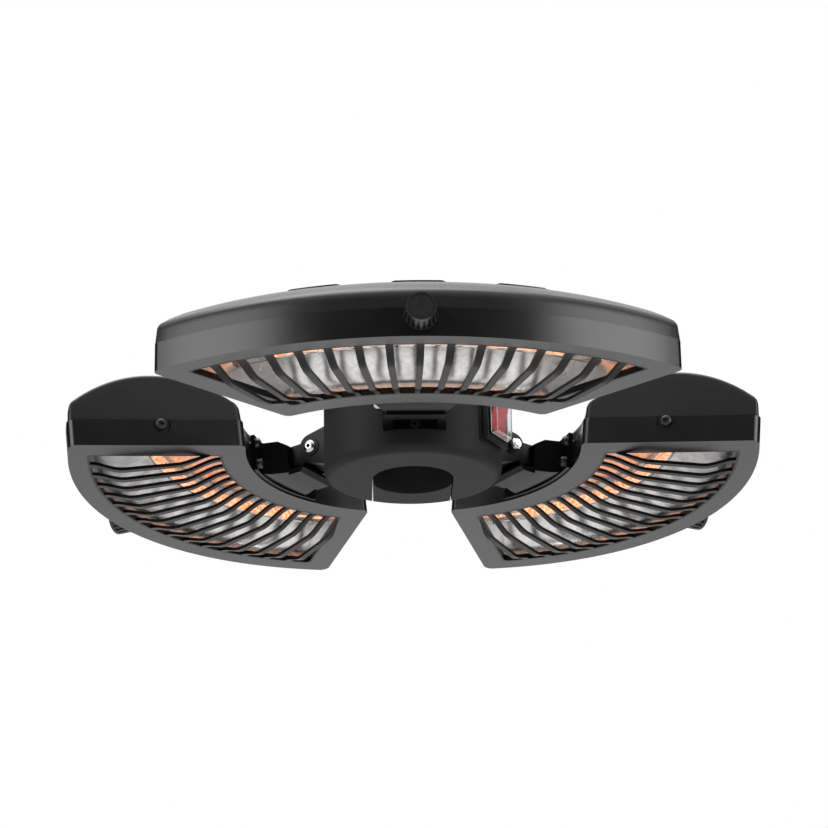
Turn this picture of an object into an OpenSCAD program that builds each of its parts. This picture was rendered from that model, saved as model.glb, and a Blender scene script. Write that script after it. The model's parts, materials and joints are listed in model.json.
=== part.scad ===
// Patio heater for a parasol pole.
// A hub goes round the pole from the side and a jaw clamps it there. Three infrared
// heads, each a sector of a ring, tilt on hinges round the hub.
// Millimetres. The origin is on the pole's axis at the hub's underside, +Z is up and
// the front head points along -Y.

/* [Pole hub] */
// Widest pole that fits
pole_d = 60; // [54:1:62]
// Diameter of the hub
hub_d = 132.4; // [130:0.2:136]
// Height of the hub's housing
hub_h = 90; // [84:1:110]
// Thickness of the hub's walls and floor
hub_wall = 3; // [2.4:0.2:3.6]
// Rounding of the hub's lower edge
hub_edge_r = 7; // [3:0.5:8]
// Thickness of the hub's lid
lid_t = 3; // [2.4:0.2:5]
// Length of each lid screw's shank
lid_screw_l = 14; // [8:1:20]

/* [Clamp] */
// Gap on each side of the jaw
jaw_gap = 0.8; // [0.4:0.1:1.2]
// How far the jaw stands back from a pole of the widest size
jaw_open = 5; // [1:0.5:6]
// Height of the clamp screws
clamp_z = 67; // [64:1:70]
// Distance of each clamp screw from the middle
clamp_x = 40; // [39:0.5:42]
// Diameter of the clamp screws
clamp_screw_d = 6; // [5:0.5:8]
// Thickness of the jaw's ears
ear_plate_t = 6; // [4:0.5:8]
// Diameter of the clamp knobs
clamp_knob_d = 30; // [24:1:34]

/* [Hinges] */
// Distance of each hinge pin from the pole's axis
hinge_r = 75; // [74:0.5:78]
// Height of the hinge pins
hinge_z = 32; // [30:0.5:36]
// Width of the bracket's barrel between the ears
barrel_w = 31; // [26:0.5:32]
// Radius of the barrel
barrel_r = 8.2; // [7:0.1:9]
// Thickness of each ear of a fork
ear_t = 6.8; // [5:0.2:7.4]
// Radius of an ear's nose
ear_r = 9.3; // [8.6:0.1:10.5]
// Diameter of the hinge bolts
bolt_d = 5; // [4:0.5:6]
// Tilt of the front head below the horizontal
front_tilt = 0; // [0:0.5:45]
// Tilt of the two side heads below the horizontal
side_tilt = 6.5; // [0:0.5:45]

/* [Heads] */
// Radius of a head's outer wall on its centreline, from the pole's axis
head_out = 250; // [240:1:270]
// Radius of a head's inner wall on its centreline, from the pole's axis
head_in = 120; // [117:0.5:124]
// How far behind the pole's axis the head's arcs have their centre
arc_back = 40; // [30:1:50]
// Angle between a head's end walls, seen from the pole's axis
head_span = 90; // [80:0.2:94]
// Height of a head's underside above the hub's underside
head_z = 17; // [15:0.5:18.5]
// Height of the lower frame
frame_h = 20.5; // [19.5:0.5:24]
// Full height of a head
head_h = 58.5; // [54:0.5:64]
// Radius of the cover's dome across the head
dome_r = 96; // [90:1:140]
// Wall thickness of the casing
case_wall = 2.4; // [2:0.1:2.8]
// How far the cover stands inside the frame's outline
cover_inset = 1.2; // [0.6:0.1:1.6]
// Radius of the upright corners
corner_r = 6; // [4:0.5:12]

/* [Window and guard] */
// Frame between the outer wall and the window
win_out_margin = 15.7; // [13:0.1:18]
// Frame between the inner wall and the window
win_in_margin = 19; // [16:0.1:22]
// Frame between each end wall and the window
win_end_margin = 20; // [18:0.5:23]
// Number of guard bars, an odd number
bar_count = 15; // [11:2:17]
// Angle from one bar to the next, seen from the arcs' centre
bar_pitch = 4.4; // [3.8:0.1:4.6]
// Width of a bar as an angle, seen from the arcs' centre
bar_angle = 1.15; // [0.9:0.05:1.6]
// Thickness of a bar
bar_t = 2.4; // [1.8:0.2:3]
// How far the bars stand below the frame's underside
guard_drop = 7; // [4:0.5:9]

/* [Lamp] */
// Outer diameter of the quartz tube
tube_d = 11; // [9:0.5:13]
// Height of the tube's middle above the head's underside
lamp_h = 21; // [17:0.5:21]
// Radius of the lamp's arc, from the arcs' centre
lamp_r = 230; // [222:1:234]
// Diameter of the glowing element
element_d = 7.6; // [5:0.2:8]
// Length at each end of the lamp that doesn't glow
element_cold = 36; // [20:1:60]
// Height of the reflector's top above the head's underside
reflector_h = 30; // [28.5:0.5:32]

/* [Controls] */
// Diameter of a knob at its foot
knob_d = 23; // [18:0.5:26]
// Diameter of a knob's face
knob_face_d = 20; // [16:0.5:22]
// How far a knob stands out
knob_h = 16; // [12:0.5:20]
// Height of the knobs above the head's underside
knob_up = 15; // [13.5:0.5:15.5]
// Grooves round a knob
knob_grooves = 18; // [12:1:24]
// Width of the rocker switch's rim
switch_w = 26.5; // [24:0.5:27]
// Height of the rocker switch's rim
switch_h = 31; // [27:0.5:33]
// Height of the rocker switch's middle
switch_z = 35; // [32:0.5:36]
// Distance of the switch panel's face from the pole's axis
panel_r = 71.2; // [70:0.2:73]

/* [Hidden] */
$fn = 64;
eps = 0.01;
fit = 0.1;
running = 0.06;
snug = 0.05;
part_gap = 0.5;
SIDES = ["front", "left", "right"];
AZIMUTH = [-90, 150, 30];
TILT = [front_tilt, side_tilt, side_tilt];
SWITCH_AZIMUTH = -30;
switch_rim = 1.5;
switch_wall = 1;
rocker_gap = 0.35;
rocker_turn = 8;
rocker_pin_r = 1.2;
GLAND_AZIMUTH = 210;

hub_r = hub_d / 2;
pole_r = pole_d / 2;
sleeve_r = pole_r + hub_wall + 0.5;
hub_top = hub_h + lid_t;
lid_lip = 4;
lid_boss_r = 5;
lid_boss_at = hub_r - hub_wall - lid_boss_r + 0.6;
LID_SCREW_AZIMUTHS = [-5, 185, 252, 288];
screw_r = 2;
screw_head_r = 4;
screw_head_h = 2.4;

jaw_hw = pole_r - jaw_gap;
jaw_wall = 4;
clamp_pad_y = 46;
clamp_pad_t = 12;
clamp_travel_in = 6;
clamp_travel_out = 8;
clamp_ear_h = 20;
clamp_ear_hw = clamp_x + 9;
clamp_ear_y = clamp_pad_y + clamp_travel_in + part_gap;
clamp_screw_r = clamp_screw_d / 2;
insert_r = clamp_screw_r + 1.6;
clamp_boss_r = clamp_screw_d * 1.2;
clamp_boss_h = 7;
clamp_play = 0.3;
clamp_grip_h = 14;
clamp_grip_y = clamp_ear_y + ear_plate_t + clamp_boss_h + clamp_play;
clamp_stud_y = clamp_pad_y - clamp_pad_t + 2;
clamp_stud_l = clamp_grip_y + clamp_grip_h - 1 - clamp_stud_y;

// A fork's base plate lies in a flat pocket of the hub's wall.
fork_base_r = hub_r - 6.2;
fork_base_t = 3.4;
fork_hw = barrel_w / 2 + 0.4 + ear_t;
fork_low = hinge_z - 15.5;
fork_high = hinge_z + 15;
fork_boss_t = 0.9;
bolt_r = bolt_d / 2;
bolt_head_r = bolt_d * 0.95;
bolt_head_h = bolt_d * 0.55;
nut_t = bolt_d;
nut_r = bolt_d * 0.92;
fork_screw_up = 11;
fork_screw_out = 9;
bush_r = 3.6;

arc_out = head_out + arc_back;
arc_in = head_in + arc_back;
arc_mid = (arc_out + arc_in) / 2;
half_span = head_span / 2;
seam_z = head_z + frame_h;
seam_gap = 0.6;
lip_w = 1.6;
head_top = head_z + head_h;
dome_z = head_top - dome_r;
win_out = arc_out - win_out_margin;
win_in = arc_in + win_in_margin;
lamp_z = head_z + lamp_h;
reflector_top = head_z + reflector_h;
reflector_t = 0.8;
reflector_end = win_end_margin - 1.5;
reflector_low = head_z + case_wall + bar_t + 0.3;
cap_l = 8;
cap_inset = 12.9;
cap_r = tube_d / 2 + 2;
cap_angle = end_angle(lamp_r, cap_inset);
knob_z = head_z + knob_up;
knob_gap = 1;
shaft_r = 3;
neck_r = 4;
end_screw_r = 191;
notch_w = 14;
notch_low = head_z + 9.2;
notch_z = notch_low + notch_w / 2;
dome_fix_gap = 0.4;

bracket_t = 3.2;
bracket_out = arc_in - bracket_t;
bracket_half_angle = 16;
bracket_low = head_z + 1;
bracket_high = seam_z + 9;
box_hw = 30;
box_in = hinge_r + 21;
box_high = hinge_z + 12;
neck_low = hinge_z - barrel_r;
neck_high = hinge_z + barrel_r;
tongue_low = hinge_z - 16;
tongue_hw = barrel_w / 2 + 5.5;
LOW_SCREW = [12.6, head_z + 9];
HIGH_SCREW = [13.4, seam_z + 4.5];

// Angle, seen from the arcs' centre, at which a circle of radius r meets the line
// that runs parallel to the end wall at a distance of inset inside it.
function end_apex(inset) = arc_back + inset / sin(half_span);
function end_reach(r, inset) =
    -end_apex(inset) * cos(half_span)
    + sqrt(r * r - pow(end_apex(inset) * sin(half_span), 2));
function end_angle(r, inset) =
    atan2(end_reach(r, inset) * sin(half_span),
          end_apex(inset) + end_reach(r, inset) * cos(half_span));

// Middle of the rounding between an arc and an end wall: reach is its distance from
// the arcs' centre.
function corner_mid(reach, inset, r) =
    let (a = end_apex(inset) + r / sin(half_span), b = a * cos(half_span),
         s = -b + sqrt(b * b - a * a + reach * reach))
    [a + s * cos(half_span), s * sin(half_span)];

function arc_points(mid, r, from, to, steps) =
    [for (i = [0:steps]) let (a = from + (to - from) * i / steps) mid + r * [cos(a), sin(a)]];

module at_azimuth(a) rotate([0, 0, a]) children();

// Puts a head's own frame, where its centreline is +X and it lies level, on the hub.
module tilted(h)
    at_azimuth(AZIMUTH[h]) translate([hinge_r, 0, hinge_z]) rotate([0, TILT[h], 0])
        translate([-hinge_r, 0, -hinge_z]) children();

// Puts things in the frame of the head's arcs.
module about_arc() translate([-arc_back, 0, 0]) children();

module on_both_ends() {
    children();
    mirror([0, 1, 0]) children();
}

// Wedge between the two end walls, moved in by inset.
module end_wedge(inset) {
    far = 2 * arc_out;
    a = end_apex(inset);
    polygon([[a, 0], [a + far * cos(half_span), -far * sin(half_span)],
             [a + far * cos(half_span), far * sin(half_span)]]);
}

// What a rounding cuts off a corner: e points along the arc's radius out of the
// corner and the other side is the end wall.
module corner_waste(reach, inset, r, outward) {
    c = corner_mid(reach, inset, r);
    e = outward * c / norm(c);
    n = [-sin(half_span), cos(half_span)];
    difference() {
        polygon([c, c + 3 * r * e, c + 3 * r * (e + n), c + 3 * r * n]);
        translate(c) circle(r);
    }
}

// Sector of a ring between r_in and r_out with rounded corners.
module sector(r_in, r_out, inset, r) {
    difference() {
        intersection() {
            difference() {
                circle(r_out, $fn = 256);
                circle(r_in, $fn = 256);
            }
            end_wedge(inset);
        }
        on_both_ends() {
            corner_waste(r_out - r, inset, r, 1);
            corner_waste(r_in + r, inset, r, -1);
        }
    }
}

module head_plan(inset) sector(arc_in + inset, arc_out - inset, inset, corner_r - inset);

module slab(low, high) translate([0, 0, low]) linear_extrude(high - low) children();

// Turned body with a rounded lower edge.
module hub_turned(r, h, edge) {
    rotate_extrude($fn = 128) {
        square([r - edge, h]);
        translate([0, edge]) square([r, h - edge]);
        translate([r - edge, edge]) circle(edge);
    }
}

module pole_way(h) {
    translate([0, 0, -1]) cylinder(r = pole_r, h = h + 2, $fn = 128);
    translate([-pole_r, 0, -1]) cube([2 * pole_r, hub_r + 10, h + 2]);
}

module hub_cavity(low, high) {
    difference() {
        translate([0, 0, low]) cylinder(r = hub_r - hub_wall, h = high - low, $fn = 128);
        translate([0, 0, low - 1]) cylinder(r = sleeve_r, h = high - low + 2, $fn = 128);
        translate([-pole_r - hub_wall, 0, low - 1])
            cube([2 * (pole_r + hub_wall), hub_r + 10, high - low + 2]);
    }
}

module lid_bosses() {
    for (a = LID_SCREW_AZIMUTHS) at_azimuth(a) translate([lid_boss_at, 0, hub_h - 24])
        cylinder(r = lid_boss_r, h = 24 - lid_lip / 2);
}

module fork_seat() {
    pad_t = 3.4;
    translate([fork_base_r - pad_t, -fork_hw - 2.5, hub_wall / 2])
        cube([hub_r - fork_base_r, 2 * fork_hw + 5, fork_high + 3 - hub_wall / 2]);
}

module fork_pocket() {
    translate([fork_base_r, -fork_hw - 0.3, fork_low - 0.3])
        cube([20, 2 * fork_hw + 0.6, fork_high - fork_low + 0.6]);
}

module clamp_pads() {
    for (side = [-1, 1]) translate([side * clamp_x, 0, clamp_z])
        translate([-7, clamp_pad_y - clamp_pad_t, -8]) cube([14, clamp_pad_t + 3, 16]);
}

// Flat seats for the jaw's ears, cut out of the round wall.
module clamp_seats() {
    for (side = [-1, 1]) translate([side * (pole_r + clamp_ear_hw) / 2, 0, clamp_z])
        translate([-(clamp_ear_hw - pole_r) / 2 - 0.5, clamp_pad_y, -clamp_ear_h / 2 - 0.8])
            cube([clamp_ear_hw - pole_r + 2, 40, clamp_ear_h + 1.6]);
}

module switch_panel_solid() {
    groove_r = hub_r + 0.3;
    groove_w = 1.7;
    panel_hw = 16;
    low = switch_z - switch_h / 2 - 4;
    high = switch_z + switch_h / 2 + 4;
    translate([groove_r - 12, -panel_hw, low]) cube([12, 2 * panel_hw, high - low]);
    translate([groove_r - 1, -panel_hw + 1.5, low + 1.5])
        cube([groove_w + 2, 2 * panel_hw - 3, high - low - 3]);
    translate([groove_r + groove_w, -panel_hw, low])
        cube([panel_r - groove_r - groove_w, 2 * panel_hw, high - low]);
}

module switch_cutout() {
    translate([sleeve_r + 4, -switch_w / 2 + switch_rim, switch_z - switch_h / 2 + switch_rim])
        cube([panel_r, switch_w - 2 * switch_rim, switch_h - 2 * switch_rim]);
}

module hub_housing() {
    color("#3a3a3c") difference() {
        union() {
            difference() {
                hub_turned(hub_r, hub_h, hub_edge_r);
                hub_cavity(hub_wall, hub_h + 1);
            }
            intersection() {
                hub_turned(hub_r, hub_h, hub_edge_r);
                union() {
                    lid_bosses();
                    for (a = AZIMUTH) at_azimuth(a) fork_seat();
                    clamp_pads();
                }
            }
            at_azimuth(SWITCH_AZIMUTH) switch_panel_solid();
        }
        pole_way(hub_h);
        clamp_seats();
        at_azimuth(SWITCH_AZIMUTH) switch_cutout();
        for (a = AZIMUTH) at_azimuth(a) {
            fork_pocket();
            fork_screw_holes();
            translate([0, 0, fork_low + 4]) rotate([0, 90, 0]) cylinder(r = bush_r, h = hub_r);
        }
        for (a = LID_SCREW_AZIMUTHS) at_azimuth(a) translate([lid_boss_at, 0, hub_h - lid_screw_l])
            cylinder(r = screw_r + snug, h = lid_screw_l + 1);
        on_clamp_axes(0) cylinder(r = insert_r, h = clamp_pad_y + 1);
        lid_recess();
    }
}

// The lid's lip drops into the top of the cavity, so the boss tops stop short of it.
module lid_recess() {
    difference() {
        hub_cavity(hub_h - lid_lip / 2 - 0.2, hub_h + 1);
    }
}

module hub_lid() {
    color("#3a3a3c") difference() {
        union() {
            translate([0, 0, hub_top]) mirror([0, 0, 1]) hub_turned(hub_r, lid_t, lid_t / 2);
            intersection() {
                hub_cavity(hub_h - lid_lip / 2, hub_h + 1);
                difference() {
                    cylinder(r = hub_r - hub_wall - fit, h = hub_top);
                    cylinder(r = hub_r - hub_wall - 2, h = hub_top);
                }
            }
        }
        pole_way(hub_top);
        for (a = LID_SCREW_AZIMUTHS) at_azimuth(a) translate([lid_boss_at, 0, 0])
            cylinder(r = screw_r + fit, h = hub_top + 1);
        at_azimuth(GLAND_AZIMUTH) translate([gland_at(), 0, hub_h - lid_lip])
            cylinder(r = gland_thread_r() + fit, h = lid_t + lid_lip + 1);
    }
}

module pan_screw(length) {
    slot_w = 1;
    difference() {
        union() {
            cylinder(r = screw_head_r, h = screw_head_h * 0.6);
            translate([0, 0, screw_head_h * 0.6 - eps])
                cylinder(r1 = screw_head_r, r2 = screw_head_r * 0.62, h = screw_head_h * 0.4);
            translate([0, 0, -length]) cylinder(r = screw_r, h = length + eps);
        }
        for (a = [0, 90]) rotate([0, 0, a])
            translate([-screw_head_r / 2, -slot_w / 2, screw_head_h * 0.4])
                cube([screw_head_r, slot_w, screw_head_h]);
    }
}

module lid_screws() {
    color("#8d8f92") for (a = LID_SCREW_AZIMUTHS) at_azimuth(a)
        translate([lid_boss_at, 0, hub_top]) pan_screw(lid_screw_l);
}

function gland_at() = (sleeve_r + hub_r - hub_wall) / 2;
function gland_thread_r() = 8;

module gland_place() at_azimuth(GLAND_AZIMUTH) translate([gland_at(), 0, 0]) children();

module cable_gland() {
    cord_r = 4.2;
    color("#1b1b1c") gland_place() difference() {
        union() {
            translate([0, 0, hub_top]) cylinder(r = 11, h = 5, $fn = 6);
            translate([0, 0, hub_top + 5 - eps]) cylinder(r = 9.6, h = 10);
            translate([0, 0, hub_top + 15 - 2 * eps]) cylinder(r1 = 9.6, r2 = 6.6, h = 4);
            translate([0, 0, hub_h - 8]) cylinder(r = gland_thread_r(), h = lid_t + 8 + eps);
        }
        cylinder(r = cord_r, h = hub_top + 40);
    }
}

module gland_nut() {
    color("#1b1b1c") gland_place() translate([0, 0, hub_h - lid_lip - 2.6]) difference() {
        cylinder(r = 11.5, h = 4.6 + lid_lip - 2, $fn = 6);
        translate([0, 0, -1]) cylinder(r = gland_thread_r() + snug, h = 12);
    }
}

module terminal_block() {
    length = 38;
    width = 17;
    height = 15;
    poles = 4;
    color("#d8d6cc") at_azimuth(GLAND_AZIMUTH) translate([gland_at(), 0, hub_wall]) difference() {
        translate([-width / 2, -length / 2, 0]) cube([width, length, height]);
        for (i = [0:poles - 1]) translate([0, (i - (poles - 1) / 2) * length / poles, 0]) {
            for (x = [-width / 4, width / 4]) translate([x, 0, height - 6]) cylinder(r = 2.2, h = 7);
            translate([-width, 0, height / 3]) rotate([0, 90, 0]) cylinder(r = 1.7, h = 2 * width);
        }
    }
}

// Both clamp axes, with +Z pointing out of the hub's back from the given distance.
module on_clamp_axes(y) {
    for (side = [-1, 1]) translate([side * clamp_x, y, clamp_z]) rotate([-90, 0, 0]) children();
}

// The jaw fills the way that the pole came in through, and its ears reach over the
// hub's back to the two clamp screws.
module clamp_jaw() {
    color("#3a3a3c") difference() {
        union() {
            intersection() {
                hub_turned(hub_r, hub_top, hub_edge_r);
                translate([-jaw_hw, 0, 0]) cube([2 * jaw_hw, hub_r, hub_top]);
            }
            translate([-clamp_ear_hw, clamp_ear_y, clamp_z - clamp_ear_h / 2])
                cube([2 * clamp_ear_hw, ear_plate_t, clamp_ear_h]);
            on_clamp_axes(clamp_ear_y + 1)
                cylinder(r = clamp_boss_r, h = ear_plate_t + clamp_boss_h - 1);
        }
        translate([0, jaw_open, -1]) cylinder(r = pole_r, h = hub_top + 2, $fn = 128);
        translate([-hub_r, -hub_r, -1]) cube([2 * hub_r, hub_r + jaw_open, hub_top + 2]);
        jaw_hollow();
        on_clamp_axes(clamp_ear_y - 1)
            cylinder(r = clamp_screw_r + running, h = ear_plate_t + clamp_boss_h + 2);
    }
}

// Open from above, between the saddle and the round back.
module jaw_hollow() {
    translate([0, 0, 12]) intersection() {
        difference() {
            cylinder(r = hub_r - jaw_wall, h = hub_top, $fn = 128);
            translate([0, jaw_open, -1]) cylinder(r = pole_r + jaw_wall, h = hub_top + 2, $fn = 128);
        }
        translate([-jaw_hw + jaw_wall, pole_r * 0.8, 0])
            cube([2 * (jaw_hw - jaw_wall), clamp_ear_y - 2 - pole_r * 0.8, hub_top]);
    }
}

module clamp_inserts() {
    color("#b6924a") on_clamp_axes(clamp_pad_y - clamp_pad_t) difference() {
        cylinder(r = insert_r, h = clamp_pad_t);
        translate([0, 0, -1]) cylinder(r = clamp_screw_r + snug, h = clamp_pad_t + 2);
    }
}

// Studs fixed in the hub, which the jaw slides on and the knobs run on as nuts.
module clamp_studs() {
    color("#b9bbbe") on_clamp_axes(clamp_stud_y) cylinder(r = clamp_screw_r, h = clamp_stud_l);
}

module clamp_knob(side) {
    lobes = 6;
    grip_r = clamp_knob_d / 2;
    color("#1b1b1c") translate([side * clamp_x, clamp_grip_y, clamp_z]) rotate([-90, 0, 0])
        difference() {
            cylinder(r = grip_r, h = clamp_grip_h);
            for (i = [0:lobes - 1]) rotate([0, 0, (i + 0.5) * 360 / lobes])
                translate([grip_r + 1.5, 0, -1]) cylinder(r = grip_r * 0.3, h = clamp_grip_h + 2);
            translate([0, 0, -1]) cylinder(r = clamp_screw_r + running, h = clamp_grip_h + 2);
        }
}

module switch_place() at_azimuth(SWITCH_AZIMUTH) translate([panel_r, 0, switch_z]) children();

module switch_body() {
    rim_t = switch_rim;
    body_l = 27;
    body_hw = switch_w / 2 - switch_rim - fit;
    body_hh = switch_h / 2 - switch_rim - fit;
    color("#141415") switch_place() difference() {
        union() {
            translate([0, -switch_w / 2, -switch_h / 2]) cube([rim_t, switch_w, switch_h]);
            translate([-body_l, -body_hw, -body_hh]) cube([body_l + eps, 2 * body_hw, 2 * body_hh]);
            for (y = [-5, 5], z = [-8, 0, 8]) translate([-body_l - 5, y - 2.4, z - 0.4])
                cube([6, 4.8, 0.8]);
        }
        translate([-6, -body_hw + switch_wall, -body_hh + switch_wall])
            cube([10, 2 * (body_hw - switch_wall), 2 * (body_hh - switch_wall)]);
        rocker_pin(body_hw - switch_wall + 0.75, running);
    }
}

module rocker_pin(half_l, play) {
    rotate([90, 0, 0]) cylinder(r = rocker_pin_r + play, h = 2 * half_l, center = true);
}

// The rocker turns on a level pin across the switch and rests with its top pressed in.
module switch_rocker() {
    crown = 2.6;
    foot = -3.6;
    hw = switch_w / 2 - switch_rim - switch_wall - fit - rocker_gap;
    hh = switch_h / 2 - switch_rim - switch_wall - fit - 3 * rocker_gap;
    color("#c21f1a") switch_place() rotate([0, rocker_turn, 0]) {
        rotate([90, 0, 0]) translate([0, 0, -hw]) linear_extrude(2 * hw)
            polygon([[foot, 4 - hh], [0, -hh], [crown, 0.4 - hh], [crown - 1, 0],
                     [crown, hh - 0.4], [0, hh], [foot, hh - 4]]);
        rocker_pin(hw + rocker_gap + 0.65, 0);
    }
}

// Block that narrows towards the front: w and h at the rim, lean on each side.
module splash_block(w, h, rise, lean) {
    intersection() {
        translate([0, 0, -h]) linear_extrude(2 * h)
            polygon([[0, -w / 2], [rise, lean - w / 2], [rise, w / 2 - lean], [0, w / 2]]);
        rotate([90, 0, 0]) translate([0, 0, -w]) linear_extrude(2 * w)
            polygon([[0, -h / 2], [rise, lean - h / 2], [rise, h / 2 - lean], [0, h / 2]]);
    }
}

module switch_cover() {
    wall = 0.8;
    rise = 4.8;
    lean = 1.6;
    color("#e8eef0", 0.4) switch_place() translate([switch_rim, 0, 0]) difference() {
        splash_block(switch_w, switch_h, rise, lean);
        translate([-eps, 0, 0])
            splash_block(switch_w - 2 * wall, switch_h - 2 * wall, rise - wall, lean);
    }
}

// Side view of an ear: flat foot on the base plate, sloping top, round nose and a
// small rounding at the lower outer corner.
function ear_outline() = concat(
    [[fork_base_r + 1, fork_high], [hinge_r + ear_r * cos(72), hinge_z + 1 + ear_r * sin(72)]],
    arc_points([hinge_r, hinge_z + 1], ear_r, 60, -20, 6),
    arc_points([hinge_r + ear_r - 4.2, hinge_z - 8], 3, 0, -70, 4),
    [[fork_base_r + 1, fork_low]]);

module on_axis(t) translate([hinge_r, t, hinge_z]) rotate([-90, 0, 0]) children();

module fork_screw_holes() {
    for (y = [-1, 1] * fork_screw_out, z = [hinge_z - 4, hinge_z + fork_screw_up])
        translate([0, y, z]) rotate([0, 90, 0]) cylinder(r = screw_r + snug, h = hub_r);
}

module hinge_fork(h) {
    color("#18181a") at_azimuth(AZIMUTH[h]) difference() {
        union() {
            translate([fork_base_r, -fork_hw, fork_low])
                cube([fork_base_t, 2 * fork_hw, fork_high - fork_low]);
            for (side = [-1, 1]) {
                translate([0, side > 0 ? fork_hw : -fork_hw + ear_t, 0]) rotate([90, 0, 0])
                    linear_extrude(ear_t) polygon(ear_outline());
                on_axis(side > 0 ? fork_hw - eps : -fork_hw - fork_boss_t)
                    cylinder(r = bolt_head_r + 2.2, h = fork_boss_t + eps);
            }
        }
        on_axis(-fork_hw - 5) cylinder(r = bolt_r + running, h = 2 * fork_hw + 10);
        fork_screw_holes();
        translate([0, 0, fork_low + 4]) rotate([0, 90, 0]) cylinder(r = bush_r, h = hub_r);
    }
}

module fork_screws() {
    head_out_r = fork_base_r - 3.4;
    color("#8d8f92") for (a = AZIMUTH) at_azimuth(a)
        for (y = [-1, 1] * fork_screw_out, z = [hinge_z - 4, hinge_z + fork_screw_up])
            translate([head_out_r, y, z]) rotate([0, -90, 0]) pan_screw(6.4);
}

module lead_bushes() {
    lead_r = 1.6;
    color("#2c2c2b") for (a = AZIMUTH) at_azimuth(a) translate([fork_base_r - 3.4, 0, fork_low + 4])
        rotate([0, 90, 0]) difference() {
            union() {
                translate([0, 0, -eps]) cylinder(r = bush_r - snug, h = 10);
                translate([0, 0, -1.5]) cylinder(r = bush_r + 1.2, h = 1.5);
            }
            translate([0, 0, -4]) cylinder(r = lead_r, h = 20);
        }
}

module hinge_bolts() {
    color("#c9cbce") for (a = AZIMUTH) at_azimuth(a) {
        on_axis(-fork_hw - fork_boss_t - nut_t - 1)
            cylinder(r = bolt_r, h = 2 * (fork_hw + fork_boss_t) + nut_t + 1);
        on_axis(fork_hw + fork_boss_t) difference() {
            union() {
                cylinder(r = bolt_head_r, h = bolt_head_h * 0.4);
                translate([0, 0, bolt_head_h * 0.4 - eps])
                    cylinder(r1 = bolt_head_r, r2 = bolt_head_r * 0.55, h = bolt_head_h * 0.6);
            }
            translate([0, 0, bolt_head_h * 0.3]) cylinder(r = bolt_r * 0.66, h = bolt_head_h, $fn = 6);
        }
    }
}

module hinge_nuts() {
    color("#c9cbce") for (a = AZIMUTH) at_azimuth(a) on_axis(-fork_hw - fork_boss_t - nut_t) difference() {
        union() {
            translate([0, 0, nut_t * 0.3]) cylinder(r = nut_r, h = nut_t * 0.7, $fn = 6);
            cylinder(r = nut_r * 0.8, h = nut_t * 0.3 + eps);
        }
        translate([0, 0, -1]) cylinder(r = bolt_r + snug, h = nut_t + 2);
    }
}

module window(inset) sector(win_in - inset, win_out + inset, win_end_margin - inset, 3);

// Screw axis in an end wall, with +Z pointing out of the wall.
module end_screw_place() {
    translate([end_screw_r * cos(half_span), end_screw_r * sin(half_span), notch_z + 1])
        rotate([0, 0, half_span]) rotate([-90, 0, 0]) children();
}

module end_notch(w) {
    reach = 12;
    end_screw_place() translate([0, 0, -case_wall - 0.4]) {
        translate([0, 1, 0]) cylinder(r = w / 2, h = reach);
        translate([-w / 2, -30, 0]) cube([w, 31, reach]);
    }
}

module head_frame(h) {
    color("#2b2b2e") tilted(h) difference() {
        union() {
            difference() {
                about_arc() slab(head_z, seam_z) head_plan(0);
                about_arc() slab(head_z + case_wall, seam_z + 1) head_plan(case_wall);
                on_both_ends() end_notch(notch_w);
            }
            on_both_ends() intersection() {
                end_screw_place() translate([-6, -4, -7.3]) cube([12, notch_z - head_z + 4, 3.2]);
                about_arc() slab(head_z + 1, seam_z) head_plan(case_wall - eps);
            }
        }
        about_arc() slab(head_z - 1, head_z + case_wall + 1) window(lip_w);
        on_both_ends() end_screw_place() translate([0, 0, -20]) cylinder(r = screw_r, h = 30);
        translate([head_out - 20, 0, knob_z]) rotate([0, 90, 0]) cylinder(r = neck_r + fit, h = 30);
        bracket_screw_places(LOW_SCREW) translate([0, 0, -16]) cylinder(r = screw_r, h = 20);
    }
}

module dome(r) {
    about_arc() rotate_extrude($fn = 256) translate([arc_mid, dome_z]) circle(r, $fn = 256);
}

module head_cover(h) {
    low = seam_z + seam_gap;
    color("#2b2b2e") tilted(h) difference() {
        union() {
            intersection() {
                about_arc() slab(low, head_top + 1) head_plan(cover_inset);
                dome(dome_r);
            }
            on_both_ends() cover_tab();
        }
        intersection() {
            about_arc() slab(low - 1, head_top) head_plan(cover_inset + case_wall - 0.2);
            dome(dome_r - case_wall + 0.2);
        }
        vents();
        on_both_ends() end_screw_place() translate([0, 0, -20]) cylinder(r = screw_r + fit, h = 30);
        bracket_screw_places(HIGH_SCREW) translate([0, 0, -16]) cylinder(r = screw_r, h = 20);
    }
}

// The cover's tab goes down into the frame's notch, and the screw holds it there.
module cover_tab() {
    w = notch_w - 2 * dome_fix_gap;
    intersection() {
        end_notch(w);
        about_arc() slab(notch_low + dome_fix_gap, seam_z + seam_gap + 1) difference() {
            sector(arc_in + 8, arc_out - 8, cover_inset, 4);
            sector(arc_in + 4, arc_out - 4, cover_inset + case_wall - 0.2, 4);
        }
    }
}

// Three groups of slots through the top of the dome.
module vents() {
    group_turn = 16.6;
    slot_turn = 8.4;
    slot_w = 3;
    for (g = [-1:1], i = [0:2]) about_arc() rotate([0, 0, g * group_turn - slot_turn / 2])
        translate([0, 0, head_top - 20]) rotate_extrude(angle = slot_turn, $fn = 256)
            translate([arc_out - 36 - i * 11, 0]) square([slot_w, 30]);
}

module head_screws(h) {
    color("#1b1b1c") tilted(h) on_both_ends() end_screw_place()
        translate([0, 0, -cover_inset]) pan_screw(6);
}

// How far a bar hangs below the frame's underside, at radius r from the arcs' centre.
function ease(u) = let (v = min(max(u, 0), 1)) v * v * (3 - 2 * v);
function hang(r) = guard_drop * ease((win_out + 1.6 - r) / 26) * ease((r - win_in - 1.6) / 30);

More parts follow.
